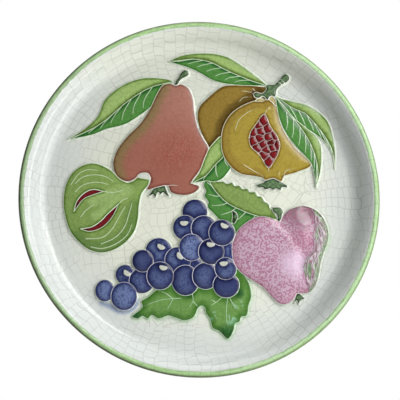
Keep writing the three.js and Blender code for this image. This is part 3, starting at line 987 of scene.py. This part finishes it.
def ground_paint(nodes, where):
    """Creamy in the middle and bluish grey towards the rim, with green and blue bleeds, and painted light
    and shade over it
    """
    centred = nodes.moved(where, from_centre)
    out = nodes.add("ShaderNodeVectorMath", {0: centred}, operation="LENGTH").outputs[1]
    wide = nodes.math("MULTIPLY_ADD", nodes.noise(where, 16.0), 0.05, out)
    place = nodes.add("ShaderNodeSeparateXYZ", {0: centred})
    rightwards, upwards = place.outputs[0], place.outputs[2]
    greyer = nodes.math("MULTIPLY", nodes.ramp(wide, 0.11, 0.19), nodes.ramp(upwards, 0.09, 0.15, 1.0, 0.3))
    made = nodes.mix(greyer, srgb(226, 229, 213), srgb(214, 219, 216))
    # Painted light and shade: lighter low down and at the lower right, darker at the top, at the far left
    # and on the right side of the wall
    right = nodes.ramp(rightwards, 0.02, 0.15)
    low_right_painted_light = nodes.math("MULTIPLY", nodes.ramp(upwards, -0.08, -0.14), right)
    right_wall_painted_shade = nodes.math("MULTIPLY", nodes.ramp(out, 0.150, 0.160), right)
    tone = nodes.ramp(upwards, -0.14, 0.17, 1.08, 0.93)
    tone = nodes.math("SUBTRACT", tone, nodes.ramp(rightwards, -0.12, -0.15, 0.0, 0.045))
    tone = nodes.math("MULTIPLY_ADD", low_right_painted_light, 0.1, tone)
    tone = nodes.math("MULTIPLY", tone, nodes.math("MULTIPLY_ADD", right_wall_painted_shade, -0.18, 1.0))
    made = nodes.toned(made, tone)
    gap = nodes.attribute("line_distance")
    # A pale rim round the figures: pale slip, brightened by painted light where the relief's shade falls
    made = nodes.mix(nodes.ramp(gap, 0.9, 2.6, 0.6, 0.0), made, srgb(240, 244, 232))
    # A grey-green line at the foot of the slip round the figures: partly pooled glaze, partly painted shadow
    foot = nodes.math("MULTIPLY", nodes.ramp(gap, 1.5, 2.1), nodes.ramp(gap, 2.4, 3.1, 1.0, 0.0))
    foot = nodes.math("MULTIPLY", foot, nodes.ramp(nodes.noise(where, 40.0), 0.4, 0.6, 0.0, 0.35))
    made = nodes.mix(foot, made, srgb(140, 156, 132))
    tinted = nodes.attribute("tint")
    made = nodes.mix(nodes.ramp(tinted, 0.02, 0.9), made, srgb(160, 205, 150))
    made = nodes.mix(nodes.ramp(tinted, -0.02, -1.4), made, srgb(130, 150, 190))
    speck = nodes.add("ShaderNodeTexVoronoi", {"Vector": where, "Scale": 38.0}).outputs["Distance"]
    return nodes.mix(nodes.ramp(speck, 0.012, 0.022, 0.8, 0.0), made, srgb(110, 84, 60))


def apple_paint(nodes, where):
    """Mauve pink with worm-like magenta marks all over, and streaked with green in the wrinkles, with a
    painted sheen low on its right and painted shade on its crown
    """
    gap = nodes.attribute("line_distance")
    cheek = nodes.from_spot(where, (0.104, -0.018, -0.150))
    deep = nodes.math("MAXIMUM", nodes.ramp(gap, 1.0, 9.0, 0.6, 0.0),
                      nodes.ramp(cheek, 0.004, 0.02, 0.8, 0.0))
    # A painted sheen: a pale patch where the glossy apple catches the lights, in which the marks fade and
    # pale
    sheen_spot = nodes.from_spot(where, (0.094, -0.0195, -0.1755))
    painted_sheen = nodes.ramp(sheen_spot, 0.004, 0.021, 1.0, 0.0)
    light = nodes.mix(deep, srgb(200, 172, 190), srgb(186, 142, 160))
    light = nodes.mix(nodes.math("MULTIPLY", painted_sheen, 0.55), light, srgb(228, 206, 228))
    mark = nodes.ramp(nodes.noise(where, 560.0, 0.0), 0.46, 0.58, 0.0, 0.62)
    mark = nodes.math("MULTIPLY", mark, nodes.ramp(painted_sheen, 0.0, 1.0, 1.0, 0.5))
    # Painted shade on the crown, darker where the glossy hump faces the lights
    crown = nodes.from_spot(where, (0.104, -0.018, -0.122))
    light = nodes.mix(nodes.ramp(crown, 0.006, 0.024, 1.0, 0.0), light, srgb(132, 108, 114))
    made = nodes.mix(mark, light, nodes.mix(painted_sheen, srgb(162, 84, 120), srgb(196, 146, 180)))
    upright = nodes.stretched(where, (1, 1, 0.35))
    streak = nodes.noise(upright, 330.0, 2.0, 0.5, 1.2)
    fold = nodes.mix(nodes.ramp(streak, 0.4, 0.6), srgb(150, 116, 128), srgb(188, 172, 180))
    edge = nodes.math("MULTIPLY_ADD", streak, -10.0, nodes.math("ADD", gap, 5.0))
    green = nodes.math("MAXIMUM", nodes.ramp(edge, 1.0, 4.5, 0.9, 0.0),
                       nodes.ramp(nodes.noise(upright, 120.0, 1.0), 0.53, 0.6, 0.0, 0.8))
    fold = nodes.mix(green, fold, srgb(106, 148, 94))
    between = nodes.math("ABSOLUTE", nodes.math("SUBTRACT", streak, 0.52))
    fold = nodes.mix(nodes.ramp(between, 0.01, 0.03, 0.55, 0.0), fold, srgb(206, 214, 206))
    return nodes.mix(nodes.attribute("tint"), made, fold)


def pear_paint(nodes, where):
    """Rosy terracotta, pinker at the top, redder with tiny pale specks on the belly, and olive brown
    with short brush strokes along its left side"""
    up = nodes.add("ShaderNodeSeparateXYZ", {0: where}).outputs[2]
    made = nodes.mix(nodes.ramp(up, -0.07, 0.0), srgb(160, 102, 87), srgb(170, 118, 103))
    belly = nodes.from_spot(where, (-0.023, -0.017, -0.061))
    near = nodes.ramp(belly, 0.008, 0.036, 1.0, 0.0)
    grain = nodes.ramp(nodes.noise(where, 620.0, 3.0, 0.7), 0.42, 0.6)
    redder = nodes.math("MULTIPLY", nodes.math("MULTIPLY", near, grain), 0.55)
    made = nodes.mix(redder, made, srgb(156, 74, 60))
    speck = nodes.add("ShaderNodeTexVoronoi", {"Vector": where, "Scale": 420.0}).outputs["Distance"]
    dots = nodes.math("MULTIPLY", nodes.ramp(speck, 0.12, 0.2, 0.6, 0.0), near)
    made = nodes.mix(dots, made, srgb(222, 152, 134))
    strokes = nodes.add("ShaderNodeTexNoise", {
        "W": nodes.attribute("along_line"), "Scale": 0.7, "Detail": 1.0,
    }, noise_dimensions="1D").outputs["Fac"]
    band = nodes.math("MULTIPLY_ADD", nodes.math("SUBTRACT", strokes, 0.5), 0.7, nodes.attribute("tint"))
    made = nodes.mix(nodes.ramp(band, 0.0, 1.1, 0.0, 0.85), made, srgb(140, 122, 80))
    hatch = nodes.math("MULTIPLY", nodes.ramp(strokes, 0.42, 0.62), nodes.attribute("tint"))
    return nodes.mix(nodes.math("MULTIPLY", hatch, 0.25), made, srgb(110, 92, 52))


def vine_paint(nodes, where):
    """Leaf green, with painted glints: pale mint reflections painted near three spots by the lower veins"""
    glint_pattern = nodes.ramp(nodes.noise(where, 150.0, 1.0, 0.5, 1.0), 0.5, 0.6)
    upper = nodes.from_spot(where, (0.038, -0.0165, -0.2165))
    middle = nodes.from_spot(where, (0.032, -0.0165, -0.2310))
    left = nodes.from_spot(where, (0.012, -0.0165, -0.2265))
    gap = nodes.math("MINIMUM", nodes.math("MINIMUM", upper, middle), left)
    # A painted reflection of the lights on the wet glaze
    glint = nodes.math("MULTIPLY", glint_pattern, nodes.ramp(gap, 0.002, 0.008, 0.85, 0.0))
    return nodes.mix(glint, srgb(112, 154, 82), srgb(170, 212, 184))


def fig_paint(nodes, where):
    """Yellow green, and darker low down"""
    low = nodes.ramp(nodes.attribute("tint"), 0.0, -0.9)
    return nodes.mix(low, srgb(132, 160, 88), srgb(108, 138, 74))


def grape_paint(nodes, where):
    """Indigo, paler in the middle of a grape, with dark speckles"""
    middle = nodes.ramp(nodes.attribute("line_distance"), 2, 9, 0, 0.3)
    pale = nodes.math("ADD", nodes.attribute("tint"), middle)
    made = nodes.mix(nodes.ramp(pale, 0.05, 1.25), srgb(58, 66, 108), srgb(112, 128, 172))
    dots = nodes.ramp(nodes.noise(where, 480.0, 1.0), 0.52, 0.62, 0.0, 0.6)
    return nodes.mix(dots, made, srgb(50, 58, 106))


def lip_paint(nodes, where):
    """Brushed green, streaked along the lip, with a painted highlight along its middle that is stronger
    on the right, painted shade on its left, and a dark brown line on its outer edge, partly worn glaze
    and partly painted shade that is darker on the left
    """
    centred = nodes.moved(where, from_centre)
    axis = nodes.add("ShaderNodeSeparateXYZ", {0: centred})
    out = nodes.from_axis(axis)
    angle = nodes.math("ARCTAN2", axis.outputs[2], axis.outputs[0])
    along = nodes.add("ShaderNodeCombineXYZ", {
        0: nodes.math("MULTIPLY", angle, 0.18), 1: nodes.math("MULTIPLY", out, 6.0),
    }).outputs[0]
    streak = nodes.noise(along, 90.0, 3.0, 0.6)
    made = nodes.mix(nodes.ramp(streak, 0.35, 0.65), srgb(142, 182, 114), srgb(176, 212, 148))
    rightwards = nodes.ramp(axis.outputs[0], -0.05, 0.12)
    edge = nodes.math("MULTIPLY_ADD", nodes.math("SUBTRACT", streak, 0.5), 0.003, out)
    middle = nodes.ramp(edge, 0.1765, 0.178, 1.0, 0.0)
    middle = nodes.math("MULTIPLY", nodes.ramp(edge, 0.1745, 0.1755), middle)
    # Painted shade on the lip's left side
    made = nodes.mix(nodes.ramp(axis.outputs[0], -0.16, -0.06, 0.6, 0.0), made, srgb(124, 142, 116))
    # A painted highlight along the lip's middle, stronger to the right
    painted_highlight = nodes.math("MULTIPLY", middle, nodes.ramp(rightwards, 0.0, 1.0, 0.2, 0.8))
    made = nodes.mix(painted_highlight, made, srgb(208, 238, 194))
    made = nodes.mix(nodes.ramp(edge, 0.1738, 0.1746, 1.0, 0.0), made, srgb(214, 219, 216))
    # The dark outer line: partly worn glaze, partly painted shade, darker on the left
    outer = nodes.ramp(rightwards, 0.0, 1.0, 0.95, 0.6)
    outer = nodes.math("MULTIPLY", nodes.ramp(edge, 0.1774, 0.179), outer)
    return nodes.mix(outer, made, srgb(66, 76, 44))


# In the order of their names above
glaze("ground", ground_paint, (222, 228, 220), pool_reach=1.8, mottle=0.02, crackled=0.26)
glaze("slip", (226, 230, 220), (230, 230, 224), mottle=0.02, crackled=0.15)
glaze("vine", vine_paint, (160, 194, 146), (62, 112, 62), 8.0, slip=(176, 208, 166), wrinkles=0.001)
glaze("leaf_light", (158, 186, 112), (150, 176, 122), (132, 158, 88), 3.5, slip=(200, 216, 184))
glaze("leaf_dark", (84, 138, 68), (170, 205, 160), (46, 106, 48), 2.5, slip=(190, 212, 178))
glaze("stem", (96, 122, 86), (90, 112, 92), pool_reach=2.4, mottle=0.5, crackled=0.1)
glaze("back_fruit", (146, 120, 54), (170, 150, 110), (100, 80, 34), 4.0, slip=(208, 206, 176))
glaze("pear", pear_paint, (190, 165, 160), pool_reach=3.5, mottle=0.07, crackled=0.14, roughness=0.2,
      slip=(214, 200, 188))
glaze("front_fruit", (166, 146, 62), (190, 170, 120), (156, 132, 58), 3.5, slip=(208, 206, 176))
glaze("seed", (126, 28, 32), (150, 110, 110), pool_reach=1.8, crackled=0.1, slip=(178, 150, 146))
glaze("husk", (198, 186, 132), (190, 180, 140), pool_reach=1.8)
glaze("grape", grape_paint, (120, 124, 170), pool_reach=5.0, crackled=0.1, slip=(170, 170, 182))
glaze("apple", apple_paint, (220, 196, 204), pool_reach=2.0, mottle=0.05, crackled=0.08,
      roughness=0.16, slip=(214, 200, 208), wrinkles=0.0018)
glaze("fig", fig_paint, (165, 190, 130), (154, 182, 112), 3.2, slip=(204, 222, 182))
glaze("flesh", (118, 32, 36), (150, 110, 110), pool_reach=1.8, crackled=0.1)
glaze("lip", lip_paint, (160, 180, 140), mottle=0.06, crackled=0.25, slip=None)
glaze("clay", (214, 196, 168), (200, 190, 170), mottle=0.08, crackled=0.0, roughness=0.8, slip=None)


# Stage: a plain pale floor below the hung plate
bpy.ops.mesh.primitive_plane_add(size=8, location=(0, 0, -0.9))
floor = bpy.context.object
floor.name = "floor"
floor_paint = bpy.data.materials.new("floor_paint")
floor_paint.use_nodes = True
floor_paint.node_tree.nodes["Principled BSDF"].inputs["Base Color"].default_value = (0.8, 0.8, 0.8, 1)
floor_paint.node_tree.nodes["Principled BSDF"].inputs["Roughness"].default_value = 0.7
floor.data.materials.append(floor_paint)


# Light: a dim room with a white wall behind the plate and a bright ceiling, a tall window and a wide
# softbox near by on the right, and two softboxes at the upper right
world = bpy.data.worlds.new("room")
world.use_nodes = True
bpy.context.scene.world = world
room = Nodes(world.node_tree)
facing = room.add("ShaderNodeSeparateXYZ", {0: room.add("ShaderNodeTexCoord").outputs["Generated"]})
behind = room.ramp(facing.outputs[1], 0.05, 0.4)
below_top = room.math("SUBTRACT", facing.outputs[2], 1.0)
overhead = room.math("EXPONENT", room.math("MULTIPLY", below_top, 12.0))
front = room.mix(overhead, (0.05, 0.05, 0.052, 1), (3.2, 3.2, 3.1, 1))
shade = room.mix(behind, front, (1.0, 1.0, 1.0, 1))
background = world.node_tree.nodes["Background"]
world.node_tree.links.new(shade, background.inputs["Color"])
background.inputs["Strength"].default_value = 1.0


def softbox(name, azimuth, elevation, distance_away, wide, high, watts):
    """A flat light that faces the plate's centre. Azimuth 0 is straight in front, 90 its right."""
    lamp = bpy.data.lights.new(name, "AREA")
    lamp.shape = "RECTANGLE"
    lamp.size = wide
    lamp.size_y = high
    lamp.energy = watts
    holder = bpy.data.objects.new(name, lamp)
    a, e = math.radians(azimuth), math.radians(elevation)
    aside = Vector((math.sin(a) * math.cos(e), -math.cos(a) * math.cos(e), math.sin(e)))
    holder.location = plate_centre + aside * distance_away
    holder.rotation_mode = "QUATERNION"
    holder.rotation_quaternion = aside.to_track_quat("Z", "Y")
    bpy.context.scene.collection.objects.link(holder)


softbox("window", 68, 0, 1.1, 0.21, 1.6, 5)
softbox("wide_softbox", 48, 0, 1.1, 0.7, 1.0, 5)
softbox("softbox", 30, 30, 2.4, 1.0, 1.0, 6)
softbox("small_softbox", 35, 30, 1.0, 0.5, 0.5, 3)

bpy.context.scene.view_settings.view_transform = "Standard"
bpy.context.scene.view_settings.look = "None"
